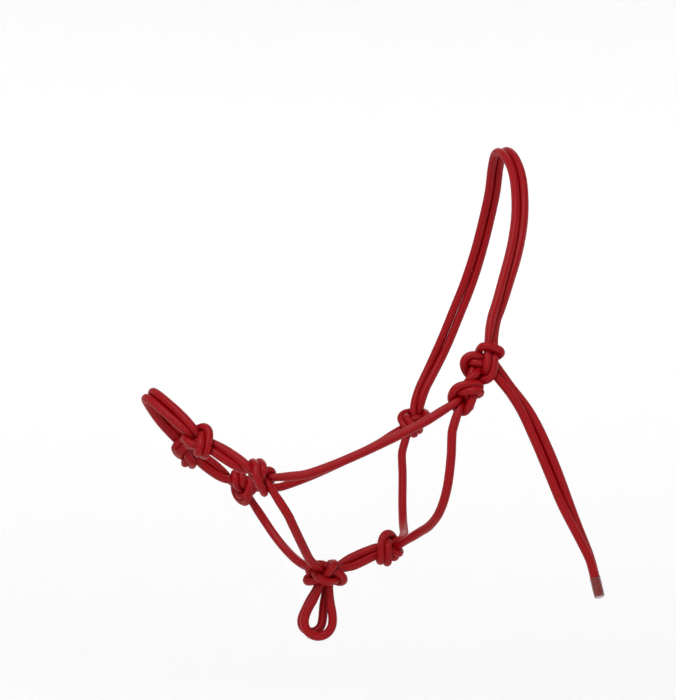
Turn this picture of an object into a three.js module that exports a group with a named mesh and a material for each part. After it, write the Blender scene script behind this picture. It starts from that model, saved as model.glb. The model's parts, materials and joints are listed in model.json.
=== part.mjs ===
// A rope halter for a full-size horse, in the shape that it takes on a head.
// The real one is tied from a single length of braided rope. It is divided here at its knots: each knot and
// each stretch of rope between two knots is one mesh, and a rope stretch stops a hair short of its knots.
//
// Millimetres, +Z up. The nose points along -X and the horse's left, where the halter is tied, is -Y.
// The origin is the point on the horse's poll that the crown rope lies on, in the plane of symmetry.

import * as THREE from "three";

// Driving dimensions

const ROPE_DIAMETER = 8;
const ROPE_RADIUS = ROPE_DIAMETER / 2;
const FIT_GAP = 0.3; // air between a rope's end and the knot that it runs into
const PAIR_PITCH = ROPE_DIAMETER + 2 * FIT_GAP; // between the centres of two ropes lying side by side
const STEP_LENGTH = 2 * ROPE_DIAMETER; // of a rope's straight segments
const LOOP_STEP_LENGTH = ROPE_DIAMETER / 2; // on the tight bend of a lead loop
const ROPE_SIDES = 10;
const KNOT_SIDES = 16;

// A knot's reach is the radius of the ball that it turns in, so ropes hinge around it without touching it.
const KNOTS = {
  nose: { centre: [-285, -42, -283], axis: [0.71, -0.3, -0.64], reach: 15, wraps: 2 },
  side: { centre: [-233, -62, -321], axis: [0.85, -0.1, -0.5], reach: 16, wraps: 2 },
  cheek: { centre: [-66, -91, -243], axis: [0.57, 0, 0.82], reach: 14.5, wraps: 2 },
  throat: { centre: [-98, 0, -368], axis: [0.92, 0, 0.38], reach: 15, wraps: 2 },
  fiador: { centre: [-166, 0, -399], axis: [0, 0, 1], reach: 19, wraps: 3 },
  tie: { centre: [-43, -93, -211], axis: [0.57, 0, 0.82], reach: 18, wraps: 3 },
};
const CORE_RADIUS = ROPE_DIAMETER + FIT_GAP; // of the end face that a knot shows to a pair of ropes

// Rope routes on the left side and in the middle plane, as points that the rope's centre passes through.
// The end points, on the faces of the knots, are worked out from these.
const CHEEK_ROUTE = [[-92, -88, -267], [-134, -79, -289], [-176, -71, -308], [-203, -66, -317]];
const CHIN_ROUTE = [[-213, -59, -346], [-204, -52, -361], [-194, -40, -376], [-184, -24, -388]];
const THROATLATCH_ROUTE = [
  [-71, -91, -270], [-72, -87, -300], [-74, -80, -327], [-77, -66, -346], [-81, -46, -357], [-86, -28, -362],
];
const NOSE_ROUTE = [[-300, -36, -269], [-314, -25, -255], [-323, -13, -245], [-327, 0, -241]];
const CROWN_ROUTE = [
  [-37, -92, -186], [-28, -88, -165], [-18, -82, -138], [-8, -75, -110], [0, -66, -80],
  [5, -53, -50], [7, -38, -25], [5, -20, -4], [3, 0, 4],
];
const TAIL_ROUTE = [
  [-20, -93, -238], [-6, -93, -257], [6, -94, -281], [19, -94, -311], [31, -94, -341],
  [43, -94, -367], [52, -94, -387], [56, -94, -402], [60, -94, -419],
];

// The direction across a pair of ropes, and its twist about the rope in degrees at even steps along the route.
const NOSE_PAIR = { across: [0.72, 0, 0.69], twist: [0, 0] };
const CROWN_PAIR = { across: [1, 0, 0.2], twist: [55, 20, 0, 0, 0, 20, 55] };
const TAIL_PAIR = { across: [1, 0, 0.5], twist: [-60, -35, 0, 10, -10, -45, -66, -66] };
const JAW_PAIR = { across: [0, 0.35, 1], twist: [0, 0] };
const TIE_LOOP_PAIR = { across: [0.4, 1, 0], twist: [0, 0] };

// The two lead loops hang side by side below the fiador knot, each in its own upright plane.
const LEAD_LOOPS = {
  lead_loop_left: { side: -1, halfWidth: 13, drop: 56, lean: 9 },
  lead_loop_right: { side: 1, halfWidth: 9.5, drop: 53, lean: 15 },
};
const LOOP_NECK_DEGREES = 15; // between a loop's leg and its middle line, where it leaves the knot

// The clear sleeve that is shrunk round both rope ends.
const SLEEVE_LENGTH = 17;
const SLEEVE_WALL = 0.7;

const COLOUR = { rope: 0xb00d1a, sleeve: 0x6b3a35 };
const ROPE_MATERIAL = new THREE.MeshStandardMaterial({ color: COLOUR.rope, roughness: 0.6, metalness: 0 });
const SLEEVE_MATERIAL = new THREE.MeshStandardMaterial({ color: COLOUR.sleeve, roughness: 0.25, metalness: 0 });

const halter = new THREE.Group();

// Small helpers

const vector = (p) => new THREE.Vector3(...p);
const mirrored = (p) => [p[0], -p[1], p[2]];
const SIDES = { left: (p) => p, right: mirrored };

function addNode(name, geometry, material = ROPE_MATERIAL) {
  const mesh = new THREE.Mesh(geometry, material);
  mesh.name = name;
  halter.add(mesh);
  return mesh;
}

// The knot on one side, or in the middle.
function knotAt(name, place = SIDES.left) {
  const { centre, reach } = KNOTS[name];
  return { centre: vector(place(centre)), reach };
}

// The point just off a knot's ball, in the direction of another point.
function faceOf(knot, toward) {
  const out = toward.clone().sub(knot.centre).setLength(knot.reach + FIT_GAP);
  return knot.centre.clone().add(out);
}

// A smooth curve between two knots through the route's points. A knot left out ends the rope at its last point.
function routeCurve(route, startKnot, endKnot) {
  const points = route.map(vector);
  if (startKnot) points.unshift(faceOf(startKnot, points[0] ?? endKnot.centre));
  if (endKnot) points.push(faceOf(endKnot, points[points.length - 1] ?? startKnot.centre));
  return new THREE.CatmullRomCurve3(points, false, "centripetal");
}

// Ropes

const ROPE_SECTION = new THREE.Shape(
  Array.from({ length: ROPE_SIDES }, (_, i) => {
    const angle = (i * 2 * Math.PI) / ROPE_SIDES;
    return new THREE.Vector2(ROPE_RADIUS * Math.cos(angle), ROPE_RADIUS * Math.sin(angle));
  }),
);

function ropeGeometry(curve, stepLength = STEP_LENGTH) {
  const steps = Math.max(1, Math.ceil(curve.getLength() / stepLength));
  return new THREE.ExtrudeGeometry(ROPE_SECTION, { steps, extrudePath: curve, bevelEnabled: false });
}

// The twist in radians at a share of the way along, between the values listed at even steps.
function twistAt(twist, share) {
  const place = share * (twist.length - 1);
  const i = Math.min(Math.floor(place), twist.length - 2);
  return THREE.MathUtils.degToRad(THREE.MathUtils.lerp(twist[i], twist[i + 1], place - i));
}

// The unit direction from a pair's middle line to its first rope.
function acrossAt(middle, pair, share) {
  const along = middle.getTangentAt(share);
  const across = vector(pair.across).projectOnPlane(along).normalize();
  return across.applyAxisAngle(along, twistAt(pair.twist, share));
}

// The two ropes that lie side by side along a middle line.
function pairCurves(middle, pair) {
  const count = Math.max(3, Math.ceil(middle.getLength() / STEP_LENGTH) + 1);
  return [1, -1].map((side) => {
    const points = Array.from({ length: count }, (_, i) => {
      const share = i / (count - 1);
      const offset = acrossAt(middle, pair, share).multiplyScalar((side * PAIR_PITCH) / 2);
      return middle.getPointAt(share).add(offset);
    });
    return new THREE.CatmullRomCurve3(points, false, "centripetal");
  });
}

function addPair(names, middle, pair) {
  pairCurves(middle, pair).forEach((curve, i) => addNode(names[i], ropeGeometry(curve)));
}

// Knots

// Half of a knot's section: a ball face at each end for the ropes, and a round ridge for each wrap of rope.
function knotProfile(reach, wraps) {
  const profile = [];
  const capAngle = Math.asin(CORE_RADIUS / reach);
  const arc = (radius, centreOut, centreUp, from, to, steps) => {
    for (let i = 0; i <= steps; i++) {
      const angle = THREE.MathUtils.lerp(from, to, i / steps);
      profile.push(
        new THREE.Vector2(
          Math.max(0, centreOut + radius * Math.cos(angle)),
          centreUp + radius * Math.sin(angle),
        ),
      );
    }
  };
  arc(reach, 0, 0, -Math.PI / 2, -Math.PI / 2 + capAngle, 2);
  for (let wrap = 0; wrap < wraps; wrap++) {
    const up = (wrap - (wraps - 1) / 2) * ROPE_DIAMETER;
    const out = Math.sqrt((reach - ROPE_RADIUS) ** 2 - up ** 2) - FIT_GAP;
    const low = wrap === 0 ? -1.3 : -0.7;
    const high = wrap === wraps - 1 ? 1.3 : 0.7;
    arc(ROPE_RADIUS, out, up, low, high, 4);
  }
  arc(reach, 0, 0, Math.PI / 2 - capAngle, Math.PI / 2, 2);
  return profile;
}

function addKnot(node, name, place = SIDES.left) {
  const { centre, axis, reach, wraps } = KNOTS[name];
  const mesh = addNode(node, new THREE.LatheGeometry(knotProfile(reach, wraps), KNOT_SIDES));
  mesh.position.copy(vector(place(centre)));
  mesh.quaternion.setFromUnitVectors(new THREE.Vector3(0, 1, 0), vector(place(axis)).normalize());
}

// The noseband: two ropes over the nose with a knot on each side, and two short ropes back to each side knot.
function addNoseband() {
  const leftHalf = NOSE_ROUTE;
  const rightHalf = NOSE_ROUTE.slice(0, -1).reverse().map(mirrored);
  const middle = routeCurve([...leftHalf, ...rightHalf], knotAt("nose"), knotAt("nose", mirrored));
  addPair(["noseband_upper_rope", "noseband_lower_rope"], middle, NOSE_PAIR);
  for (const [side, place] of Object.entries(SIDES)) {
    addKnot(`nose_knot_${side}`, "nose", place);
    const back = routeCurve([], knotAt("nose", place), knotAt("side", place));
    addPair([`nose_to_side_upper_rope_${side}`, `nose_to_side_lower_rope_${side}`], back, NOSE_PAIR);
  }
}

// The frame round the jaw: cheek, chin and throat ropes on each side, which meet at the fiador and throat knots.
function addJawFrame() {
  for (const [side, place] of Object.entries(SIDES)) {
    const onSide = (route) => route.map(place);
    addKnot(`side_knot_${side}`, "side", place);
    const ropes = {
      cheek_rope: routeCurve(onSide(CHEEK_ROUTE), knotAt("cheek", place), knotAt("side", place)),
      chin_rope: routeCurve(onSide(CHIN_ROUTE), knotAt("side", place), knotAt("fiador")),
      throatlatch_rope: routeCurve(onSide(THROATLATCH_ROUTE), knotAt("cheek", place), knotAt("throat")),
    };
    for (const [name, curve] of Object.entries(ropes)) addNode(`${name}_${side}`, ropeGeometry(curve));
  }
  addKnot("fiador_knot", "fiador");
  addKnot("throat_knot", "throat");
  const jawMiddle = routeCurve([], knotAt("fiador"), knotAt("throat"));
  addPair(["jaw_upper_rope", "jaw_lower_rope"], jawMiddle, JAW_PAIR);
}

// A loop's centre line, drawn hanging straight down from the knot's centre and then leaned towards the nose:
// two straight legs that spread from the knot, and a round bend at the bottom.
function loopCurve({ side, halfWidth, drop, lean }) {
  const { centre, reach } = KNOTS.fiador;
  const neck = THREE.MathUtils.degToRad(LOOP_NECK_DEGREES);
  const start = reach + FIT_GAP;
  const neckPoint = [Math.sin(neck) * start, -Math.cos(neck) * start];
  const bendCentre = -(drop - halfWidth);
  const leg = [neckPoint, [halfWidth * 0.8, (neckPoint[1] + bendCentre) / 2]];
  const bend = Array.from({ length: 7 }, (_, i) => {
    const angle = (-i * Math.PI) / 6;
    return [halfWidth * Math.cos(angle), bendCentre + halfWidth * Math.sin(angle)];
  });
  const flipped = leg.map(([x, z]) => [-x, z]).reverse();
  const turn = THREE.MathUtils.degToRad(lean);
  const points = [...leg, ...bend, ...flipped].map(
    ([x, z]) =>
      new THREE.Vector3(
        centre[0] + x * Math.cos(turn) + z * Math.sin(turn),
        centre[1] + (side * PAIR_PITCH) / 2,
        centre[2] - x * Math.sin(turn) + z * Math.cos(turn),
      ),
  );
  return new THREE.CatmullRomCurve3(points, false, "centripetal");
}

// The crown: two ropes from the right cheek knot over the poll to the hitch on the left, which ties them to a
// loop on the left cheek knot, and the two tails that hang from the hitch.
function addCrown() {
  for (const [side, place] of Object.entries(SIDES)) addKnot(`cheek_knot_${side}`, "cheek", place);
  addKnot("tie_knot", "tie");
  const rightHalf = CROWN_ROUTE.slice(0, -1).reverse().map(mirrored);
  const middle = routeCurve([...CROWN_ROUTE, ...rightHalf], knotAt("tie"), knotAt("cheek", mirrored));
  addPair(["crown_rear_rope", "crown_front_rope"], middle, CROWN_PAIR);
  const loopMiddle = routeCurve([], knotAt("cheek"), knotAt("tie"));
  addPair(["tie_loop_inner_leg", "tie_loop_outer_leg"], loopMiddle, TIE_LOOP_PAIR);
}

// The tails' middle line, which is straight inside the sleeve at its end.
function addTails() {
  const middle = routeCurve(TAIL_ROUTE, knotAt("tie"), null);
  addPair(["tail_rear_rope", "tail_front_rope"], middle, TAIL_PAIR);
  addNode("tail_sleeve", sleeveGeometry(middle), SLEEVE_MATERIAL);
}

// An outline with two straight sides and round ends, that much clear of a pair of ropes.
function pairOutline(clearance, Outline) {
  const radius = ROPE_RADIUS + clearance;
  return new Outline()
    .absarc(PAIR_PITCH / 2, 0, radius, -Math.PI / 2, Math.PI / 2, false)
    .absarc(-PAIR_PITCH / 2, 0, radius, Math.PI / 2, (3 * Math.PI) / 2, false)
    .closePath();
}

function sleeveGeometry(middle) {
  const outline = pairOutline(FIT_GAP + SLEEVE_WALL, THREE.Shape);
  outline.holes.push(pairOutline(FIT_GAP, THREE.Path));
  const geometry = new THREE.ExtrudeGeometry(outline, {
    depth: SLEEVE_LENGTH,
    curveSegments: ROPE_SIDES,
    bevelEnabled: false,
  });
  const back = middle.getTangentAt(1).negate();
  const across = acrossAt(middle, TAIL_PAIR, 1);
  const place = new THREE.Matrix4().makeBasis(across, back.clone().cross(across), back);
  return geometry.applyMatrix4(place.setPosition(middle.getPointAt(1)));
}

addNoseband();
addJawFrame();
for (const [name, loop] of Object.entries(LEAD_LOOPS)) {
  addNode(name, ropeGeometry(loopCurve(loop), LOOP_STEP_LENGTH));
}
addCrown();
addTails();

export default halter;
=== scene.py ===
"""A knotted rope halter, in the shape that it takes on a horse's head.

The whole halter is one braided rope. Its strands run on through every knot: a knot's strands start as a loose
drawing of the real knot, and are pulled tight against each other. Metres, +Z up, the nose along -X.
"""

import json
import math

import bpy
import numpy as np
from mathutils import Matrix, Vector


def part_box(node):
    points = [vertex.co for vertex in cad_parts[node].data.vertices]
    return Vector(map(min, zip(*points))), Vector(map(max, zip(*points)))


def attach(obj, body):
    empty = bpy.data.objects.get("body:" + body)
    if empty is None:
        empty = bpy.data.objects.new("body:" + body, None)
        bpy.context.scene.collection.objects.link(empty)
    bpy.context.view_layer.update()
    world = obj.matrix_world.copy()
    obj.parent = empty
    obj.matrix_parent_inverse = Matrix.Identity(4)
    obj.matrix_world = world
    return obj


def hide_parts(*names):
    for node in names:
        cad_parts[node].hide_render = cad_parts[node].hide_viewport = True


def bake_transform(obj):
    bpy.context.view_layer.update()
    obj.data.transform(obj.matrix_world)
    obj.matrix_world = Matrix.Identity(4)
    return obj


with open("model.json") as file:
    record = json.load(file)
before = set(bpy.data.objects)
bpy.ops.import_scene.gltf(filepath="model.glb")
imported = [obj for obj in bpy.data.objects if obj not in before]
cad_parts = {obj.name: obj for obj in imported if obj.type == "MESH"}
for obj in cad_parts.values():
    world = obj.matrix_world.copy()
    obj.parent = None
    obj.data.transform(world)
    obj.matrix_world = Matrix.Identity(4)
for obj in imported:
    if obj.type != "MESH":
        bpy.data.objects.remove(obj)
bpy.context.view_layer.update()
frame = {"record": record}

TINY = 1e-6  # keeps a number off zero, or off the edge between two columns of yarns
FEWEST_LINE_POINTS = 3
FEWEST_SPAN_POINTS = 4
SMOOTH_SHARE = 0.5  # of the way to its neighbours' middle that a point moves in a smoothing round
NEARLY_UPRIGHT = 0.9
MM_PER_METRE = 1000

# Rope
ROPE_DIAMETER = 0.008
ROPE_RADIUS = ROPE_DIAMETER / 2
PAIR_PITCH = 0.0081  # between the centres of two ropes lying side by side
PIN_PITCH = 0.0086  # between the two held ends of a pair
RING_STEP = 0.00055  # between the rings of vertices along a rope
ROPE_SIDES = 32
KNOT_SQUEEZE = 0.87  # share of its thickness that a rope keeps inside a knot
SQUEEZE_FADE = 0.014  # length over which it gets its thickness back
PULLED_GAP = 0.0071  # between the centres of two strands that touch in a knot
PRESSED_GAPS = (0.0069, 0.0067, 0.0065)  # as the knot is pulled harder, step by step

# Braid, drawn as columns of short slanting yarns that lean the other way in every second column
YARN_COLUMNS = 8
YARN_LENGTH = 0.002
YARN_HEIGHT = 0.00042
YARN_SLANT = 0.8  # of a yarn's length, across one column
YARN_MIDDLE = 0.6  # height at which a yarn is at the rope's own radius
YARN_ROUNDNESS = 0.6  # lower makes a yarn flatter on top
COLUMN_EDGE = 0.35  # height of a yarn at its column's edge
COLUMN_SPREAD = 0.9  # lower keeps a yarn higher towards its column's edge

# Colours, with painted shade darkening the braid's creases, and the fibres along the yarns, as noise
# stretched around and along the rope
CREASE_PAINTED_SHADE_RED = (0.08, 0.0, 0.003, 1)
YARN_RED = (0.34, 0.0004, 0.003, 1)
CREASE_PAINTED_SHADE_HEIGHT = 0.1
YARN_TOP_HEIGHT = 0.85
FIBRE_SCALE = (40, 900, 1)
FIBRE_DETAIL = 3
FIBRE_TONE = 0.35
FIBRE_BUMP = 0.35
FIBRE_DEPTH = 0.0002
ROPE_ROUGHNESS = 0.45
ROPE_IOR = 1.22
SLEEVE_BROWN = (0.12, 0.02, 0.014, 1)
SLEEVE_ALPHA = 0.45
SLEEVE_ROUGHNESS = 0.2
SLEEVE_COAT = 0.3
WALL_WHITE = (0.9, 0.9, 0.9, 1)
WALL_ROUGHNESS = 0.9
WHITE = (1, 1, 1, 1)

# How loose a knot is drawn before it is pulled tight
LOOSE_SCALE = np.array([0.017, 0.0145, 0.003])
LOOSE_RANGE = 2.05
LOOSE_POINTS = 140
PIN_DISTANCE = 0.075  # from a knot's centre to the held ends of its strands
COARSE_STEP = 0.0038  # between points of a strand that is being pulled tight
FINE_STEP = 0.0022  # the same, near the end
COARSE_ROUNDS = 400
FINE_ROUNDS = 500
HITCH_ROUNDS = 110
PRESS_ROUNDS = 60
SETTLE_ROUNDS = 80
SETTLE_REACH = 0.02  # past a knot's own reach
LOOP_SETTLE_REACH = 0.008  # past the fiador knot, where the lead loops keep their shape
MELTED_END = 0.0022  # length that is rounded at each end of the rope
MELTED_TIP = 0.02  # share of that length at which the rounding stops
SMOOTH_ROUNDS = 30
REFRESH_ROUNDS = 5  # between looks for what is close
PUSHES = 2  # apart, after each shortening
PAIR_MARGIN = 0.003  # past touching, for points that are watched
PAIR_BLOCK = 400  # points looked at together
TIGHTEN_PULL = 0.6  # share of the way to straight that a point moves in a round
NEIGHBOUR_REACH = 1.75  # in gaps, along the rope, within which points don't push each other
SHARED_PUSH = 1.5  # touches on one point from which its pushes are shared out

# Routes between knots, as points that the rope's centre passes through
CHEEK_ROUTE = [
    (-0.092, -0.088, -0.267), (-0.134, -0.079, -0.289), (-0.176, -0.071, -0.308), (-0.203, -0.066, -0.317),
]
CHIN_ROUTE = [
    (-0.213, -0.059, -0.346), (-0.204, -0.052, -0.361), (-0.194, -0.040, -0.376), (-0.184, -0.024, -0.388),
]
THROATLATCH_ROUTE = [
    (-0.071, -0.091, -0.270), (-0.072, -0.087, -0.300), (-0.074, -0.080, -0.327),
    (-0.077, -0.066, -0.346), (-0.081, -0.046, -0.357), (-0.086, -0.028, -0.362),
]
NOSE_ROUTE = [
    (-0.300, -0.036, -0.269), (-0.314, -0.025, -0.255), (-0.323, -0.013, -0.245), (-0.327, 0, -0.241),
]
CROWN_ROUTE = [
    (-0.037, -0.092, -0.186), (-0.028, -0.088, -0.165), (-0.018, -0.082, -0.138), (-0.008, -0.075, -0.110),
    (0, -0.066, -0.080), (0.005, -0.053, -0.050), (0.007, -0.038, -0.025), (0.005, -0.020, -0.004),
    (0.003, 0, 0.004),
]
TAIL_ROUTE = [
    (-0.020, -0.093, -0.238), (-0.006, -0.093, -0.257), (0.006, -0.094, -0.281), (0.019, -0.094, -0.311),
    (0.031, -0.094, -0.341), (0.043, -0.094, -0.367), (0.052, -0.094, -0.387), (0.056, -0.094, -0.402),
    (0.060, -0.094, -0.419),
]

# Across a pair of ropes, and its twist in degrees at even steps along the route
NOSE_PAIR = {"across": (0.72, 0, 0.69), "twist": (0, 0)}
CROWN_PAIR = {"across": (1, 0, 0.2), "twist": (55, 20, 0, 0, 0, 20, 55)}
TAIL_PAIR = {"across": (1, 0, 0.5), "twist": (-60, -35, 0, 10, -10, -45, -66, -66)}
JAW_PAIR = {"across": (0, 0.35, 1), "twist": (0, 0)}
TIE_LOOP_PAIR = {"across": (0.4, 1, 0), "twist": (0, 0)}

# The lead loops, drawn hanging straight down and then leaned towards the nose
LEAD_LOOPS = {
    "lead_loop_left": {"side": -1, "half_width": 0.013, "drop": 0.056, "lean": 9},
    "lead_loop_right": {"side": 1, "half_width": 0.0095, "drop": 0.053, "lean": 15},
}
LOOP_NECK = math.radians(15)  # between a loop's leg and straight down, at the knot's face

# How each knot is turned about its own line, in degrees, and whether it is tied the other way round
KNOT_TURNS = {"nose": (135, True), "side": (225, True), "cheek": (225, True), "throat": (225, False)}

# The clear sleeve that is shrunk round both rope ends
SLEEVE_LENGTH = 0.017
SLEEVE_WALL = 0.0007
SLEEVE_DOME = 0.002  # past the rope ends
SLEEVE_WAIST = 0.2  # share by which it is drawn in between the two ropes
SLEEVE_WAIST_POWER = 6  # higher makes the drawn-in part narrower
SLEEVE_LIP = 0.9  # share of its length, from the rope ends, where its turned-in lip ends
SLEEVE_SIDES = 64
SLEEVE_RINGS = 18
DOME_RINGS = 8

# Lengths from the knot's face, listed for each kind of rope that crosses a joint
BEND_LENGTH = 0.07
SHORT_BEND_LENGTH = 0.034  # between the nose and side knots
LOOP_BEND_LENGTH = 0.03
TAIL_BEND_LENGTH = 0.09

# The hitch that ties the crown to the left loop, drawn as it is seen from the near side: millimetres to the
# right, up and towards the camera
HITCH_BIGHT = [
    (-17, -20, -1), (-13, -8, 0), (-9, 4, 1), (-3, 11, 3), (5, 17, 7), (14, 18, 7), (20, 12, 1), (19, 3, -6),
    (12, -5, -9), (0, -11, -7), (-10, -17, -4), (-16, -25, -2),
]
HITCH_PAIR = [
    (8, 22, -3), (8, 12, -3), (10, 5, 5), (11, -5, 9), (5, -16, 5), (-6, -19, -5), (-18, -11, -11),
    (-22, -2, -5), (-15, 4, 6), (-3, 0, 6), (8, -7, 1), (17, -14, -3),
]
HITCH_DRAWING_STEP = 0.004

# The fiador knot: a closed woven band round the four strands that run through it
BAND_LEADS = 3  # times round
BAND_BIGHTS = 4  # bends along its top edge
BAND_RADIUS = 0.0118
BAND_HALF_HEIGHT = 0.0095
BAND_WEAVE = 0.0034  # in and out from its radius
BAND_CLEARANCE = 0.001  # between the band and the strands inside it
BAND_POINTS = 200
CORE_POINTS = (0.017, 0.009, 0.003)  # distances from the knot's centre along the strands inside the band
CORE_STEP = 0.002

# Steps between the points of a drawn route
ROUTE_STEP = 0.008
SHORT_ROUTE_STEP = 0.004
LEG_STEP = 0.003
ROUTE_GAP = 0.001  # from a knot's face to the route's first point
NECK_GAP = 0.0003  # from the fiador knot's face to a lead loop
LOOP_LEG_SPREAD = 0.8  # of the loop's half width, halfway down its legs
LOOP_BEND_POINTS = 7

# Camera: the view of the near side from a little below and in front
VIEW_AZIMUTH = math.radians(-13)
VIEW_ELEVATION = math.radians(-8)
VIEW_CENTRE = (-0.1226, 0, -0.2335)
VIEW_DISTANCE = 1.55
LENS_MM = 86.6
SENSOR_MM = 36
LENS_SHIFT = (-0.04857, 0.06286)

# Stage: a floor and a wall round the halter
FLOOR_LEVEL = -0.70
FLOOR_RADIUS = 2.6
COVE_RADIUS = 1.4
WALL_HEIGHT = 3.0
COVE_STEPS = 24
STAGE_SIDES = 96
WALL_GLOW = 0.2

# Lights: place, size and power
LIGHTS = {
    "key": {"place": (-1.1, -1.4, 1.5), "size": 0.9, "power": 50},
    "fill": {"place": (1.6, -1.2, 0.6), "size": 1.4, "power": 6},
    "rim": {"place": (0.4, 1.6, 1.2), "size": 1.2, "power": 12},
}
SKY_STRENGTH = 0.42

MIRROR = np.array([1, -1, 1])
SIDES = {"left": np.array([1, 1, 1]), "right": MIRROR}


# Camera

def view_axes():
    """The camera's right, up and back."""
    back = np.array([
        math.sin(VIEW_AZIMUTH) * math.cos(VIEW_ELEVATION),
        -math.cos(VIEW_AZIMUTH) * math.cos(VIEW_ELEVATION),
        math.sin(VIEW_ELEVATION),
    ])
    right = np.cross((0, 0, 1), back)
    right /= np.linalg.norm(right)
    return right, np.cross(back, right), back


def add_camera():
    right, up, back = view_axes()
    data = bpy.data.cameras.new("camera")
    data.lens = LENS_MM
    data.sensor_width = SENSOR_MM
    data.sensor_height = SENSOR_MM
    data.shift_x, data.shift_y = LENS_SHIFT
    camera = bpy.data.objects.new("camera", data)
    bpy.context.scene.collection.objects.link(camera)
    place = np.eye(4)
    place[:3, 0], place[:3, 1], place[:3, 2] = right, up, back
    place[:3, 3] = np.array(VIEW_CENTRE) + VIEW_DISTANCE * back
    camera.matrix_world = Matrix(place.tolist())
    bpy.context.scene.camera = camera


# Lines

def unit(v):
    v = np.asarray(v, float)
    return v / np.linalg.norm(v)


def lengths(points):
    """The distance along a line to each of its points."""
    return np.concatenate([[0], np.cumsum(np.linalg.norm(np.diff(points, axis=0), axis=1))])


def resample(points, step):
    """The same line with evenly spaced points."""
    along = lengths(points)
    count = max(FEWEST_LINE_POINTS, int(round(along[-1] / step)) + 1)
    even = np.linspace(0, along[-1], count)
    return np.column_stack([np.interp(even, along, points[:, i]) for i in range(3)])


def curve_through(points, step):
    """A smooth, evenly sampled curve through the points (a centripetal Catmull-Rom spline)."""
    p = np.asarray(points, float)
    p = np.vstack([2 * p[0] - p[1], p, 2 * p[-1] - p[-2]])
    gaps = np.sqrt(np.linalg.norm(np.diff(p, axis=0), axis=1))
    knots = np.concatenate([[0], np.cumsum(gaps)])
    out = []
    for i in range(1, len(p) - 2):
        t0, t1, t2, t3 = knots[i - 1:i + 3]
        count = max(FEWEST_SPAN_POINTS, int(gaps[i] ** 2 / step) + 1)
        share = np.linspace(0, 1, count, endpoint=False)
        t = (t1 + share * (t2 - t1))[:, None]
        a1 = (t1 - t) / (t1 - t0) * p[i - 1] + (t - t0) / (t1 - t0) * p[i]
        a2 = (t2 - t) / (t2 - t1) * p[i] + (t - t1) / (t2 - t1) * p[i + 1]
        a3 = (t3 - t) / (t3 - t2) * p[i + 1] + (t - t2) / (t3 - t2) * p[i + 2]
        b1 = (t2 - t) / (t2 - t0) * a1 + (t - t0) / (t2 - t0) * a2
        b2 = (t3 - t) / (t3 - t1) * a2 + (t - t1) / (t3 - t1) * a3
        out.append((t2 - t) / (t2 - t1) * b1 + (t - t1) / (t2 - t1) * b2)
    out.append(p[-2:-1])
    return resample(np.vstack(out), step)


def smooth(points, rounds):
    """The line with its sharpest bends eased. Its ends stay where they are."""
    p = points.copy()
    for _ in range(rounds):
        p[1:-1] += SMOOTH_SHARE * ((p[:-2] + p[2:]) / 2 - p[1:-1])
    return p


def turned(v, axis, angle):
    """The vector turned about an axis."""
    along = axis * (axis @ v) * (1 - math.cos(angle))
    return v * math.cos(angle) + np.cross(axis, v) * math.sin(angle) + along


def pair_lines(middle, pair):
    """The two lines side by side along a middle line."""
    tangents = np.gradient(middle, axis=0)
    places = np.linspace(0, 1, len(middle))
    twist = np.interp(places, np.linspace(0, 1, len(pair["twist"])), np.radians(pair["twist"]))
    sides = np.empty_like(middle)
    for i, tangent in enumerate(tangents):
        along = unit(tangent)
        across = np.array(pair["across"], float)
        across = unit(across - along * (across @ along))
        sides[i] = turned(across, along, twist[i])
    return middle + sides * PAIR_PITCH / 2, middle - sides * PAIR_PITCH / 2


# Pulling knots tight

def close_pairs(points, owner, order, step, gap):
    """Pairs of points that are close, or soon may be, and aren't neighbours on one stretch of rope."""
    first, second = [], []
    for start in range(0, len(points), PAIR_BLOCK):
        block = points[start:start + PAIR_BLOCK]
        distance = np.linalg.norm(block[:, None] - points[None], axis=2)
        i, j = np.nonzero(distance < gap + PAIR_MARGIN)
        first.append(i + start)
        second.append(j)
    i, j = np.concatenate(first), np.concatenate(second)
    neighbours = (owner[i] == owner[j]) & (np.abs(order[i] - order[j]) * step < NEIGHBOUR_REACH * gap)
    keep = (i < j) & ~neighbours
    return i[keep], j[keep]


def push_apart(points, pairs, gap):
    """Moves points of different stretches of rope out of each other."""
    i, j = pairs
    away = points[i] - points[j]
    distance = np.maximum(np.linalg.norm(away, axis=1), TINY)
    depth = np.maximum(gap - distance, 0)
    shift = away * (depth / distance / 2)[:, None]
    touching = depth > 0
    count = np.bincount(i, touching, len(points)) + np.bincount(j, touching, len(points))
    share = SHARED_PUSH / np.maximum(count, SHARED_PUSH)
    for axis in range(3):
        total = np.bincount(i, shift[:, axis], len(points)) - np.bincount(j, shift[:, axis], len(points))
        points[:, axis] += total * share


def tighten(strands, rounds, step, gap=PULLED_GAP, held=None):
    """Shortens strands between their held ends until they press on each other.

    held, if given, says for each place whether the rope there stays where it is.
    """
    for n in range(rounds):
        if n % REFRESH_ROUNDS == 0:
            if held is None:
                strands = [resample(s, step) for s in strands]
            owner = np.concatenate([np.full(len(s), i) for i, s in enumerate(strands)])
            order = np.concatenate([np.arange(len(s)) for s in strands])
            points = np.vstack(strands)
            inner = np.ones(len(points), bool)
            edge = np.cumsum([0] + [len(s) for s in strands])
            for end in (0, 1, -1, -2):
                inner[(edge[:-1] if end >= 0 else edge[1:]) + end] = False
            if held is not None:
                inner &= ~held
            pairs = close_pairs(points, owner, order, step, gap)
            still = points.copy()
        middle = points.copy()
        middle[1:-1] += TIGHTEN_PULL * ((points[:-2] + points[2:]) / 2 - points[1:-1])
        points[inner] = middle[inner]
        for _ in range(PUSHES):
            push_apart(points, pairs, gap)
            points[~inner] = still[~inner]
        strands = np.split(points, edge[1:-1])
    return strands


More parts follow.
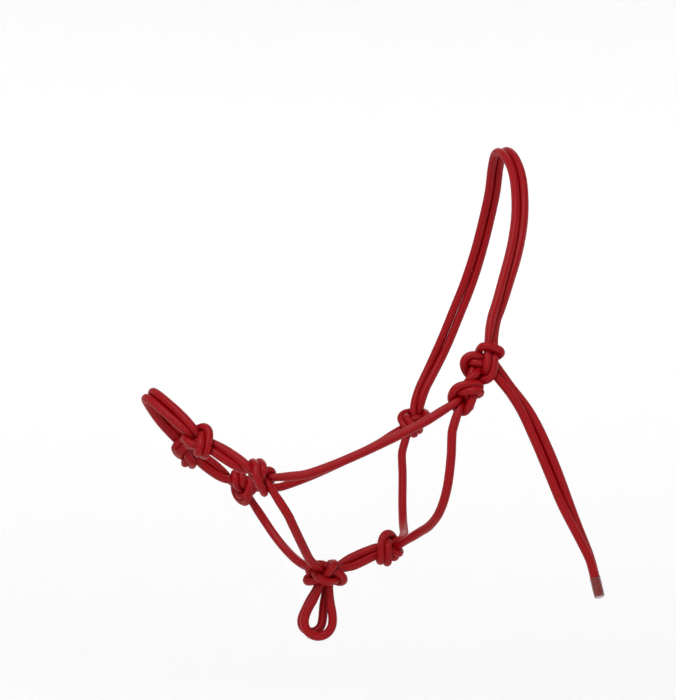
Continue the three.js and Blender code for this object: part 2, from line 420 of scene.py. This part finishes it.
def loose_overhand(offset):
    """An overhand knot drawn loosely along Z, and moved sideways for the second strand of a pair."""
    t = np.linspace(-LOOSE_RANGE, LOOSE_RANGE, LOOSE_POINTS)
    line = np.column_stack([t ** 3 - 3 * t, t ** 4 - 4 * t ** 2 + 2, t ** 5 - 10 * t]) * LOOSE_SCALE
    flow = np.gradient(line[:, :2], axis=0)
    flow /= np.linalg.norm(flow, axis=1)[:, None]
    line[:, 0] -= offset * flow[:, 1]
    line[:, 1] += offset * flow[:, 0]
    return line


# Knot centres and sizes, from the frame

def node_centre(name):
    return np.mean(np.array(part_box(name)), axis=0)


def node_reach(name):
    low, high = np.array(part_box(name))
    return float(np.max(high - low)) / 2


def sided(route, side):
    return np.array(route, float) * SIDES[side]


def beyond(centre, toward, distance):
    """The point that far from a centre, in the direction of another point."""
    return centre + unit(np.asarray(toward, float) - centre) * distance


# Each strand of the rope is a list of stretches, (piece name, points). It runs on through its knots.

def inside(strand, centre, reach):
    """The part of a knot's strand that lies within reach of its centre, ends included."""
    near = np.linalg.norm(strand - centre, axis=1) <= reach
    picked = np.flatnonzero(near)
    return strand[picked[0]:picked[-1] + 1]


def make_strand(*stretches):
    """Joins stretches into one line. Returns its points, and each stretch's first and last index in them."""
    points = np.vstack([s[1] for s in stretches])
    marks = []
    start = 0
    for name, line in stretches:
        marks.append((name, start, start + len(line) - 1))
        start += len(line)
    return points, marks


def transported_frames(points):
    """A normal and a binormal at each point that turn as little as possible along the line."""
    tangents = np.gradient(points, axis=0)
    tangents /= np.linalg.norm(tangents, axis=1)[:, None]
    normals = np.empty_like(points)
    start = (0, 0, 1) if abs(tangents[0][2]) < NEARLY_UPRIGHT else (1, 0, 0)
    normal = unit(np.cross(tangents[0], start))
    for i, tangent in enumerate(tangents):
        normal = unit(normal - tangent * (tangent @ normal))
        normals[i] = normal
    return normals, np.cross(tangents, normals)


def braid_height(around, along):
    """The braid's relief, from 0 in its creases to 1 on its yarns. around is in turns and along in metres."""
    column = around * YARN_COLUMNS
    lean = np.where(np.floor(column) % 2 == 0, 1, -1)
    across = column - np.floor(column) - 0.5
    yarn = np.abs(np.cos(math.pi * (along / YARN_LENGTH + lean * across * YARN_SLANT)))
    dome = np.cos(math.pi * across * COLUMN_SPREAD)
    return (yarn ** YARN_ROUNDNESS) * (COLUMN_EDGE + (1 - COLUMN_EDGE) * dome)


def settle(lines, centres, reaches):
    """Lets the rope find its place in and next to its knots. The rest of each line stays where it is."""
    points = np.vstack(lines)
    free = np.zeros(len(points), bool)
    for name, centre in centres.items():
        past = LOOP_SETTLE_REACH if name == "fiador_knot" else SETTLE_REACH
        free |= np.linalg.norm(points - centre, axis=1) < reaches[name] + past
    return tighten(lines, SETTLE_ROUNDS, FINE_STEP, PRESSED_GAPS[-1], held=~free)


def lay_out(stretches):
    """Evenly spaced points along the whole line, and the index range of each stretch."""
    control, marks = make_strand(*stretches)
    line = curve_through(control, FINE_STEP)
    along = lengths(control)
    scale = (len(line) - 1) / along[-1]
    spans = {}
    for n, (name, first, last) in enumerate(marks):
        begin = 0 if n == 0 else (along[first - 1] + along[first]) / 2 * scale
        end = len(line) - 1 if n == len(marks) - 1 else (along[last] + along[last + 1]) / 2 * scale
        spans.setdefault(name, []).append((begin, end))
    return line, spans


class Rope:
    """One rope's surface: rings of vertices along its whole length. Pieces take their stretches from it."""

    def __init__(self, line, spans, squeezed):
        self.points = smooth(curve_through(line, RING_STEP), SMOOTH_ROUNDS)
        self.along = lengths(self.points)
        places = lengths(line)
        places *= self.along[-1] / places[-1]
        self.spans = {}
        for name, ranges in spans.items():
            ends = [np.interp(r, np.arange(len(line)), places) for r in ranges]
            self.spans[name] = [tuple(np.searchsorted(self.along, e)) for e in ends]
        normals, binormals = transported_frames(self.points)
        around = np.arange(ROPE_SIDES) / ROPE_SIDES
        self.height = braid_height(around[None, :] + TINY, self.along[:, None])
        radius = np.full(len(self.points), ROPE_RADIUS)
        for centre, reach in squeezed:
            distance = np.linalg.norm(self.points - centre, axis=1)
            share = np.clip((distance - reach + ROPE_RADIUS) / SQUEEZE_FADE, 0, 1)
            radius *= KNOT_SQUEEZE + (1 - KNOT_SQUEEZE) * share * share * (3 - 2 * share)
        to_end = np.minimum(self.along, self.along[-1] - self.along)
        melted = 1 - np.clip(to_end / MELTED_END, MELTED_TIP, 1)
        radius *= np.sqrt(1 - melted * melted)
        radius = radius[:, None] * (1 + (self.height - YARN_MIDDLE) * YARN_HEIGHT / ROPE_RADIUS)
        angle = around * 2 * math.pi
        circle = normals[:, None] * np.cos(angle)[None, :, None]
        circle = circle + binormals[:, None] * np.sin(angle)[None, :, None]
        self.rings = self.points[:, None] + circle * radius[:, :, None]
        ahead = np.gradient(self.rings, axis=0)
        across = np.roll(self.rings, -1, axis=1) - np.roll(self.rings, 1, axis=1)
        facing = np.cross(across, ahead)
        self.facing = facing / np.linalg.norm(facing, axis=2)[:, :, None]

    def stretch(self, name, turn=0):
        """The rings, normals, heights, distances and centre line of one stretch."""
        first, last = self.spans[name][turn]
        part = slice(first, min(last, len(self.points) - 1) + 1)
        return {
            "rings": self.rings[part],
            "facing": self.facing[part],
            "height": self.height[part],
            "along": self.along[part],
            "line": self.points[part],
        }


def rope_piece(name, stretches, material):
    """One mesh of the given stretches of rope, each closed at both ends."""
    vertices, facings, heights, faces, uvs, flat = [], [], [], [], [], []
    base = 0
    for s in stretches:
        rings = s["rings"]
        count = len(rings)
        vertices.append(rings.reshape(-1, 3))
        facings.append(s["facing"].reshape(-1, 3))
        heights.append(s["height"].reshape(-1))
        ring = np.arange(count - 1)[:, None]
        side = np.arange(ROPE_SIDES)[None]
        after = (side + 1) % ROPE_SIDES
        corners = [
            ring * ROPE_SIDES + side,
            ring * ROPE_SIDES + after,
            (ring + 1) * ROPE_SIDES + after,
            (ring + 1) * ROPE_SIDES + side,
        ]
        quads = np.stack(np.broadcast_arrays(*corners), axis=-1).reshape(-1, 4) + base
        u0 = np.broadcast_to(side / ROPE_SIDES, (count - 1, ROPE_SIDES))
        u1 = np.broadcast_to((side + 1) / ROPE_SIDES, (count - 1, ROPE_SIDES))
        v0 = np.broadcast_to(s["along"][:-1, None], (count - 1, ROPE_SIDES))
        v1 = np.broadcast_to(s["along"][1:, None], (count - 1, ROPE_SIDES))
        uv = np.stack([u0, v0, u1, v0, u1, v1, u0, v1], axis=-1).reshape(-1, 2)
        faces.append(quads)
        uvs.append(uv)
        caps = [base + np.arange(ROPE_SIDES)[::-1], base + (count - 1) * ROPE_SIDES + np.arange(ROPE_SIDES)]
        flat.extend(caps)
        base += count * ROPE_SIDES
    vertices = np.vstack(vertices)
    quads = np.vstack(faces)
    mesh = bpy.data.meshes.new(name)
    mesh.vertices.add(len(vertices))
    mesh.vertices.foreach_set("co", vertices.astype(np.float32).ravel())
    corner_vertices = np.concatenate([quads.ravel()] + flat)
    mesh.loops.add(len(corner_vertices))
    mesh.loops.foreach_set("vertex_index", corner_vertices.astype(np.int32))
    mesh.polygons.add(len(quads) + len(flat))
    starts = np.concatenate([np.arange(len(quads)) * 4, len(quads) * 4 + np.arange(len(flat)) * ROPE_SIDES])
    mesh.polygons.foreach_set("loop_start", starts.astype(np.int32))
    smooth_faces = np.concatenate([np.ones(len(quads), bool), np.zeros(len(flat), bool)])
    layer = mesh.uv_layers.new(name="rope")
    cap_uv = np.zeros((len(flat) * ROPE_SIDES, 2))
    layer.data.foreach_set("uv", np.vstack(uvs + [cap_uv]).astype(np.float32).ravel())
    mesh.update(calc_edges=True)
    mesh.polygons.foreach_set("use_smooth", smooth_faces)
    attribute = mesh.attributes.new("height", "FLOAT", "POINT")
    attribute.data.foreach_set("value", np.concatenate(heights).astype(np.float32))
    mesh.normals_split_custom_set_from_vertices(np.vstack(facings))
    mesh.materials.append(material)
    piece = bpy.data.objects.new(name, mesh)
    bpy.context.scene.collection.objects.link(piece)
    return piece


# Materials

def new_material(name):
    material = bpy.data.materials.new(name)
    material.use_nodes = True
    nodes = material.node_tree.nodes
    nodes.clear()
    output = nodes.new("ShaderNodeOutputMaterial")
    shader = nodes.new("ShaderNodeBsdfPrincipled")
    material.node_tree.links.new(shader.outputs[0], output.inputs[0])
    return material, nodes, material.node_tree.links, shader


def rope_material():
    """Red braid: bright yarns, painted shade in the creases, and fine fibres along each yarn."""
    material, nodes, links, shader = new_material("braided_rope")
    height = nodes.new("ShaderNodeAttribute")
    height.attribute_name = "height"
    uv = nodes.new("ShaderNodeUVMap")
    uv.uv_map = "rope"
    stretch = nodes.new("ShaderNodeMapping")
    stretch.inputs["Scale"].default_value = FIBRE_SCALE
    links.new(uv.outputs[0], stretch.inputs[0])
    fibres = nodes.new("ShaderNodeTexNoise")
    fibres.inputs["Scale"].default_value = 1
    fibres.inputs["Detail"].default_value = FIBRE_DETAIL
    links.new(stretch.outputs[0], fibres.inputs["Vector"])
    # Painted shade: the base colour darkens from the yarn red to the crease red as the braid's height drops
    # into its creases
    ramp = nodes.new("ShaderNodeValToRGB")
    ramp.color_ramp.elements[0].position = CREASE_PAINTED_SHADE_HEIGHT
    ramp.color_ramp.elements[0].color = CREASE_PAINTED_SHADE_RED
    ramp.color_ramp.elements[1].position = YARN_TOP_HEIGHT
    ramp.color_ramp.elements[1].color = YARN_RED
    links.new(height.outputs["Fac"], ramp.inputs[0])
    tone = nodes.new("ShaderNodeMix")
    tone.data_type = "RGBA"
    tone.blend_type = "MULTIPLY"
    tone.inputs["Factor"].default_value = FIBRE_TONE
    links.new(ramp.outputs[0], tone.inputs["A"])
    links.new(fibres.outputs["Fac"], tone.inputs["B"])
    links.new(tone.outputs["Result"], shader.inputs["Base Color"])
    bump = nodes.new("ShaderNodeBump")
    bump.inputs["Strength"].default_value = FIBRE_BUMP
    bump.inputs["Distance"].default_value = FIBRE_DEPTH
    links.new(fibres.outputs["Fac"], bump.inputs["Height"])
    links.new(bump.outputs[0], shader.inputs["Normal"])
    shader.inputs["Roughness"].default_value = ROPE_ROUGHNESS
    shader.inputs["IOR"].default_value = ROPE_IOR
    return material


def sleeve_material():
    """Clear tubing shrunk over the red rope ends, browned a little by the heat."""
    material, nodes, links, shader = new_material("shrunk_sleeve")
    shader.inputs["Base Color"].default_value = SLEEVE_BROWN
    shader.inputs["Alpha"].default_value = SLEEVE_ALPHA
    shader.inputs["Roughness"].default_value = SLEEVE_ROUGHNESS
    shader.inputs["Coat Weight"].default_value = SLEEVE_COAT
    return material


def floor_material():
    """Matt white that glows a little, so that the background stays pale."""
    material, nodes, links, shader = new_material("pale_floor")
    shader.inputs["Base Color"].default_value = WALL_WHITE
    shader.inputs["Roughness"].default_value = WALL_ROUGHNESS
    shader.inputs["Emission Color"].default_value = WHITE
    shader.inputs["Emission Strength"].default_value = WALL_GLOW
    return material


# Stage

def add_stage():
    """A pale round floor that curves up into a wall on all sides."""
    profile = [(0.0, FLOOR_LEVEL), (FLOOR_RADIUS, FLOOR_LEVEL)]
    for i in range(1, COVE_STEPS + 1):
        angle = i / COVE_STEPS * math.pi / 2
        profile.append((
            FLOOR_RADIUS + COVE_RADIUS * math.sin(angle), FLOOR_LEVEL + COVE_RADIUS * (1 - math.cos(angle))
        ))
    profile.append((FLOOR_RADIUS + COVE_RADIUS, FLOOR_LEVEL + WALL_HEIGHT))
    vertices = [(0, 0, FLOOR_LEVEL)]
    for out, up in profile[1:]:
        for i in range(STAGE_SIDES):
            angle = i / STAGE_SIDES * 2 * math.pi
            vertices.append((out * math.cos(angle), out * math.sin(angle), up))
    faces = [(0, 1 + i, 1 + (i + 1) % STAGE_SIDES) for i in range(STAGE_SIDES)]
    for row in range(len(profile) - 2):
        for i in range(STAGE_SIDES):
            j = (i + 1) % STAGE_SIDES
            low, high = 1 + row * STAGE_SIDES, 1 + (row + 1) * STAGE_SIDES
            faces.append((low + i, high + i, high + j, low + j))
    mesh = bpy.data.meshes.new("floor")
    mesh.from_pydata(vertices, [], faces)
    mesh.polygons.foreach_set("use_smooth", [True] * len(faces))
    mesh.materials.append(floor_material())
    floor = bpy.data.objects.new("floor", mesh)
    bpy.context.scene.collection.objects.link(floor)


def add_light(name, place, size, power):
    """A soft square light that faces the halter."""
    data = bpy.data.lights.new(name, "AREA")
    data.energy = power
    data.size = size
    light = bpy.data.objects.new(name, data)
    bpy.context.scene.collection.objects.link(light)
    light.location = place
    aim = np.array(VIEW_CENTRE) - np.array(place)
    light.rotation_euler = Vector(aim).to_track_quat("-Z", "Y").to_euler()


def add_lighting():
    world = bpy.data.worlds.new("world")
    world.use_nodes = True
    background = world.node_tree.nodes["Background"]
    background.inputs["Color"].default_value = WHITE
    background.inputs["Strength"].default_value = SKY_STRENGTH
    bpy.context.scene.world = world
    for name, light in LIGHTS.items():
        add_light(name, **light)
    bpy.context.scene.view_settings.view_transform = "Standard"


# Knots

def pins(centre, toward, across=None):
    """Where a rope that leaves a knot is held while the knot is pulled tight. Two places for a pair."""
    way = unit(np.asarray(toward, float) - centre)
    if across is None:
        return [centre + way * PIN_DISTANCE]
    side = np.array(across, float)
    side = unit(side - way * (side @ way)) * PIN_PITCH / 2
    return [centre + way * PIN_DISTANCE + side, centre + way * PIN_DISTANCE - side]


def tie_overhand(centre, pins_in, pins_out, roll, flip):
    """A doubled overhand knot between two pairs of pins."""
    z = unit(np.mean(pins_out, axis=0) - np.mean(pins_in, axis=0))
    x = turned(unit(np.cross(z, (0, 1, 0))), z, math.radians(roll))
    y = np.cross(z, x) * (-1 if flip else 1)
    strands = []
    for i, offset in enumerate((PULLED_GAP / 2, -PULLED_GAP / 2)):
        line = centre + loose_overhand(offset) @ np.array([x, y, z])
        strands.append(np.vstack([pins_in[i], line, pins_out[i]]))
    strands = tighten(strands, COARSE_ROUNDS, COARSE_STEP)
    strands = tighten(strands, FINE_ROUNDS, FINE_STEP)
    return press(strands)


def press(strands):
    """Pulls a knot harder, so that its strands press into each other a little."""
    for gap in PRESSED_GAPS:
        strands = tighten(strands, PRESS_ROUNDS, FINE_STEP, gap)
    return strands


def from_view(centre, points):
    """Points drawn in millimetres to the right, up and towards the camera from a centre."""
    return centre + np.array(points, float) / MM_PER_METRE @ np.array(view_axes())


def tie_hitch(centre, crown_pins, tail_pins, leg_pins):
    """A doubled sheet bend: the bight, then the two strands of the crown."""
    bight = np.vstack([leg_pins[0], from_view(centre, HITCH_BIGHT), leg_pins[1]])
    middle = from_view(centre, HITCH_PAIR)
    middle = curve_through(middle, HITCH_DRAWING_STEP)
    flow = np.gradient(middle, axis=0)
    back = view_axes()[2]
    side = np.cross(back, flow)
    side /= np.linalg.norm(side, axis=1)[:, None]
    strands = [bight]
    for i, sign in enumerate((1, -1)):
        line = middle + sign * side * PULLED_GAP / 2
        strands.append(np.vstack([crown_pins[i], line, tail_pins[i]]))
    return press(tighten(strands, HITCH_ROUNDS, FINE_STEP))


def fiador_band(centre):
    """The band's centre line, which weaves in and out as it goes round and round."""
    turns = np.linspace(0, BAND_LEADS * 2 * math.pi, BAND_POINTS)
    phase = turns * BAND_BIGHTS / BAND_LEADS
    out = BAND_RADIUS + BAND_WEAVE * np.sin(2 * phase) + BAND_CLEARANCE
    up = BAND_HALF_HEIGHT * np.sin(phase)
    return centre + np.column_stack([out * np.cos(turns), out * np.sin(turns), up])


def loop_line(side, half_width, drop, lean, centre, reach):
    """A lead loop's centre line, as in the frame: two legs that spread from the knot, and a round bend."""
    start = reach + NECK_GAP
    neck = (math.sin(LOOP_NECK) * start, -math.cos(LOOP_NECK) * start)
    bend_centre = -(drop - half_width)
    leg = [neck, (half_width * LOOP_LEG_SPREAD, (neck[1] + bend_centre) / 2)]
    angles = [-i * math.pi / (LOOP_BEND_POINTS - 1) for i in range(LOOP_BEND_POINTS)]
    bend = [(half_width * math.cos(a), bend_centre + half_width * math.sin(a)) for a in angles]
    flat = np.array(leg + bend + [(-x, z) for x, z in reversed(leg)])
    turn = math.radians(lean)
    x, z = flat[:, 0], flat[:, 1]
    return centre + np.column_stack([
        x * math.cos(turn) + z * math.sin(turn),
        np.full(len(flat), side * PAIR_PITCH / 2),
        z * math.cos(turn) - x * math.sin(turn),
    ])


def build_rope():
    """Every stretch of the rope in order, from one tail through every knot to the other tail."""
    centres = {n: node_centre(n) for n in (
        "nose_knot_left", "nose_knot_right", "side_knot_left", "side_knot_right", "cheek_knot_left",
        "cheek_knot_right", "fiador_knot", "throat_knot", "tie_knot",
    )}
    reaches = {n: node_reach(n) for n in centres}
    nose, side, cheek = centres["nose_knot_left"], centres["side_knot_left"], centres["cheek_knot_left"]
    fiador, throat, tie = centres["fiador_knot"], centres["throat_knot"], centres["tie_knot"]

    def middle_line(knot_a, route, knot_b, step=ROUTE_STEP):
        """The middle of a rope or pair, from one knot's face along its route to the next knot's face."""
        first = route[0] if len(route) else centres[knot_b]
        points = [beyond(centres[knot_a], first, reaches[knot_a] + ROUTE_GAP), *route]
        if knot_b:
            points.append(beyond(centres[knot_b], points[-1], reaches[knot_b] + ROUTE_GAP))
        return curve_through(points, step)

    nose_half = np.array(NOSE_ROUTE)
    nose_line = [*nose_half, *(nose_half[:-1][::-1] * MIRROR)]
    over_nose = middle_line("nose_knot_left", nose_line, "nose_knot_right")
    band_upper, band_lower = pair_lines(over_nose, NOSE_PAIR)
    crown_half = np.array(CROWN_ROUTE)
    crown_line = [*crown_half, *(crown_half[:-1][::-1] * MIRROR)]
    over_poll = middle_line("tie_knot", crown_line, "cheek_knot_right")
    crown_rear, crown_front = pair_lines(over_poll, CROWN_PAIR)
    tail_rear, tail_front = pair_lines(middle_line("tie_knot", TAIL_ROUTE, None), TAIL_PAIR)
    jaw_upper, jaw_lower = pair_lines(middle_line("fiador_knot", [], "throat_knot"), JAW_PAIR)
    cheek_to_tie = middle_line("cheek_knot_left", [], "tie_knot", LEG_STEP)
    leg_inner, leg_outer = pair_lines(cheek_to_tie, TIE_LOOP_PAIR)

    knots = {}
    knots["nose_knot_left"] = tie_overhand(
        nose, pins(nose, NOSE_ROUTE[0], NOSE_PAIR["across"]), pins(nose, side, NOSE_PAIR["across"]),
        *KNOT_TURNS["nose"])
    knots["side_knot_left"] = tie_overhand(
        side, pins(side, nose, NOSE_PAIR["across"]), pins(side, CHEEK_ROUTE[-1]) + pins(side, CHIN_ROUTE[0]),
        *KNOT_TURNS["side"])
    knots["cheek_knot_left"] = tie_overhand(
        cheek, pins(cheek, tie, TIE_LOOP_PAIR["across"])[::-1],
        pins(cheek, CHEEK_ROUTE[0]) + pins(cheek, THROATLATCH_ROUTE[0]), *KNOT_TURNS["cheek"])
    for name in ("nose_knot", "side_knot", "cheek_knot"):
        knots[name + "_right"] = [s * MIRROR for s in knots[name + "_left"]]
    knots["throat_knot"] = tie_overhand(
        throat, pins(throat, fiador, JAW_PAIR["across"]),
        pins(throat, THROATLATCH_ROUTE[-1]) + pins(throat, sided(THROATLATCH_ROUTE, "right")[-1]),
        *KNOT_TURNS["throat"])
    knots["tie_knot"] = tie_hitch(
        tie, pins(tie, crown_half[0], CROWN_PAIR["across"]), pins(tie, TAIL_ROUTE[0], TAIL_PAIR["across"]),
        pins(tie, cheek, TIE_LOOP_PAIR["across"]))

    def through(name, strand, backwards=False):
        """A knot's strand, from face to face."""
        line = inside(knots[name][strand], centres[name], reaches[name])
        return name, line[::-1] if backwards else line

    def core(start, end):
        """A strand through the fiador knot, from one stretch's end to the next one's start."""
        way_in = [beyond(fiador, start, d) for d in CORE_POINTS]
        way_out = [beyond(fiador, end, d) for d in CORE_POINTS]
        return "fiador_knot", curve_through([
            *way_in[:-1], (way_in[-1] + way_out[-1]) / 2, *way_out[-2::-1],
        ], CORE_STEP)

    reach = reaches["fiador_knot"]
    loops = {name: loop_line(centre=fiador, reach=reach, **size) for name, size in LEAD_LOOPS.items()}
    loop_right, loop_left = loops["lead_loop_right"], loops["lead_loop_left"]
    cheek_right, chin_right = sided(CHEEK_ROUTE, "right"), sided(CHIN_ROUTE, "right")
    throat_right = sided(THROATLATCH_ROUTE, "right")
    side_right, nose_right = centres["side_knot_right"], centres["nose_knot_right"]
    nose_to_side = middle_line("nose_knot_left", [], "side_knot_left", SHORT_ROUTE_STEP)
    upper, lower = pair_lines(nose_to_side, NOSE_PAIR)
    chin, latch = np.array(CHIN_ROUTE), np.array(THROATLATCH_ROUTE)

    stretches = [
        ("tail_front_rope", tail_front[::-1]),
        through("tie_knot", 2, True),
        ("crown_front_rope", crown_front),
        through("cheek_knot_right", 0),
        ("cheek_rope_right", cheek_right),
        through("side_knot_right", 0, True),
        ("nose_to_side_upper_rope_right", upper[::-1] * MIRROR),
        through("nose_knot_right", 0, True),
        ("noseband_upper_rope", band_upper[::-1]),
        through("nose_knot_left", 0),
        ("nose_to_side_upper_rope_left", upper),
        through("side_knot_left", 0),
        ("cheek_rope_left", np.array(CHEEK_ROUTE)[::-1]),
        through("cheek_knot_left", 0, True),
        ("tie_loop_outer_leg", leg_outer),
        through("tie_knot", 0, True),
        ("tie_loop_inner_leg", leg_inner[::-1]),
        through("cheek_knot_left", 1),
        ("throatlatch_rope_left", latch),
        through("throat_knot", 0, True),
        ("jaw_upper_rope", jaw_upper[::-1]),
        core(jaw_upper[0], loop_right[0]),
        ("lead_loop_right", loop_right),
        core(loop_right[-1], chin_right[-1]),
        ("chin_rope_right", chin_right[::-1]),
        through("side_knot_right", 1, True),
        ("nose_to_side_lower_rope_right", lower[::-1] * MIRROR),
        through("nose_knot_right", 1, True),
        ("noseband_lower_rope", band_lower[::-1]),
        through("nose_knot_left", 1),
        ("nose_to_side_lower_rope_left", lower),
        through("side_knot_left", 1),
        ("chin_rope_left", chin),
        core(chin[-1], loop_left[-1]),
        ("lead_loop_left", loop_left[::-1]),
        core(loop_left[0], jaw_lower[0]),
        ("jaw_lower_rope", jaw_lower),
        through("throat_knot", 1),
        ("throatlatch_rope_right", throat_right[::-1]),
        through("cheek_knot_right", 1, True),
        ("crown_rear_rope", crown_rear[::-1]),
        through("tie_knot", 1),
        ("tail_rear_rope", tail_rear),
    ]
    line, spans = lay_out(stretches)
    band_line, band_spans = lay_out([("fiador_band", fiador_band(fiador))])
    line, band_line = settle([line, band_line], centres, reaches)
    squeezed = [(centres[n], reaches[n]) for n in centres]
    return Rope(line, spans, squeezed), Rope(band_line, band_spans, squeezed), centres, reaches


def sleeve_outline(radius, waist):
    """The sleeve's cross section round two ropes side by side, drawn in between them."""
    half = PAIR_PITCH / 2
    angle = np.arange(SLEEVE_SIDES) / SLEEVE_SIDES * 2 * math.pi
    c, s = np.abs(np.cos(angle)), np.abs(np.sin(angle))
    flat = radius / np.maximum(s, TINY)
    rounded = half * c + np.sqrt(np.maximum(radius ** 2 - (half * s) ** 2, 0))
    out = np.where(c * radius <= half * s, flat, rounded)
    drawn_in = 1 - waist * s ** SLEEVE_WAIST_POWER
    return np.column_stack([out * np.cos(angle), out * np.sin(angle) * drawn_in])


def sleeve_piece(name, rear, front, material):
    """The film round both rope ends: a lip at its open end, and two rounded lobes over the ends."""
    tip = (rear[-1] + front[-1]) / 2
    back = unit((rear[0] + front[0]) / 2 - tip)
    across = rear[-1] - front[-1]
    across = unit(across - back * (across @ back))
    up = np.cross(back, across)
    outer = ROPE_RADIUS + SLEEVE_WALL
    lip = SLEEVE_LENGTH * SLEEVE_LIP
    stations = [(lip, ROPE_RADIUS), (SLEEVE_LENGTH, ROPE_RADIUS), (SLEEVE_LENGTH, outer)]
    stations += [(SLEEVE_LENGTH * (1 - i / SLEEVE_RINGS), outer) for i in range(1, SLEEVE_RINGS + 1)]
    for i in range(1, DOME_RINGS):
        angle = i / DOME_RINGS * math.pi / 2
        stations.append((-SLEEVE_DOME * math.sin(angle), outer * math.cos(angle)))
    vertices = []
    for place, radius in stations:
        end = 1 - max(place, 0) / SLEEVE_LENGTH
        flat = sleeve_outline(radius, SLEEVE_WAIST * (1 + end))
        vertices.append(tip + back * place + flat[:, :1] * across + flat[:, 1:] * up)
    vertices = np.vstack(vertices)
    faces = []
    for row in range(len(stations) - 1):
        for i in range(SLEEVE_SIDES):
            j = (i + 1) % SLEEVE_SIDES
            low, high = row * SLEEVE_SIDES, (row + 1) * SLEEVE_SIDES
            faces.append((low + i, high + i, high + j, low + j))
    faces.append(tuple(range(len(vertices) - SLEEVE_SIDES, len(vertices))))
    mesh = bpy.data.meshes.new(name)
    mesh.from_pydata(vertices.tolist(), [], faces)
    mesh.polygons.foreach_set("use_smooth", [True] * len(faces))
    mesh.materials.append(material)
    piece = bpy.data.objects.new(name, mesh)
    bpy.context.scene.collection.objects.link(piece)
    return piece


def bend(piece, bodies, centre, reach, toward, length):
    """Bakes the piece's placement into its mesh."""
    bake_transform(piece)


def bends(loops):
    """For each rope that crosses a joint: its bodies, its knot, where it heads and the length that bends."""
    found = {}
    for name, side in SIDES.items():
        cheek, latch = np.array(CHEEK_ROUTE[0]) * side, np.array(THROATLATCH_ROUTE[0]) * side
        nose = node_centre("nose_knot_" + name)
        lifted, dropped = ("crown", "jaw_frame"), ("jaw_frame", "noseband")
        found["cheek_rope_" + name] = (lifted, "cheek_knot_" + name, cheek, BEND_LENGTH)
        found["throatlatch_rope_" + name] = (lifted, "cheek_knot_" + name, latch, BEND_LENGTH)
        found["nose_to_side_upper_rope_" + name] = (dropped, "side_knot_" + name, nose, SHORT_BEND_LENGTH)
        found["nose_to_side_lower_rope_" + name] = (dropped, "side_knot_" + name, nose, SHORT_BEND_LENGTH)
    for name, line in loops.items():
        found[name] = (("jaw_frame", name), "fiador_knot", np.mean(line, axis=0), LOOP_BEND_LENGTH)
    for name in ("tail_rear_rope", "tail_front_rope"):
        found[name] = (("crown", "tails"), "tie_knot", TAIL_ROUTE[0], TAIL_BEND_LENGTH)
    return found


def add_rope(rope, band, centres, reaches, loops):
    """One piece for each CAD node of the rope. Returns the pieces by node."""
    red = rope_material()
    bodies_and_nodes = frame["record"]["behaviour"]["bodies"].items()
    body_of_node = {node: body for body, nodes in bodies_and_nodes for node in nodes}
    bending = bends(loops)
    pieces = {}
    for node in rope.spans:
        parts = [rope.stretch(node, turn) for turn in range(len(rope.spans[node]))]
        if node == "fiador_knot":
            parts.append(band.stretch("fiador_band"))
        piece = rope_piece(node + ".rope", parts, red)
        if node in bending:
            bodies, knot, toward, length = bending[node]
            bend(piece, bodies, centres[knot], reaches[knot], toward, length)
        else:
            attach(piece, body_of_node[node])
        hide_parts(node)
        pieces[node] = piece
    return pieces


def add_sleeve(tails):
    """The film piece over both rope ends."""
    covered = int(SLEEVE_LENGTH / RING_STEP)
    rear, front = tails["tail_rear_rope"], tails["tail_front_rope"]
    sleeve = sleeve_piece("tail_sleeve.film", rear[-covered:], front[-covered:], sleeve_material())
    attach(sleeve, "tails")
    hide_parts("tail_sleeve")
    return sleeve


add_camera()
rope, band, centres, reaches = build_rope()
loops = {name: rope.stretch(name)["line"] for name in LEAD_LOOPS}
pieces = add_rope(rope, band, centres, reaches, loops)
tails = {
    "tail_rear_rope": rope.stretch("tail_rear_rope")["line"],
    "tail_front_rope": rope.stretch("tail_front_rope")["line"][::-1],
}
sleeve = add_sleeve(tails)
add_stage()
add_lighting()
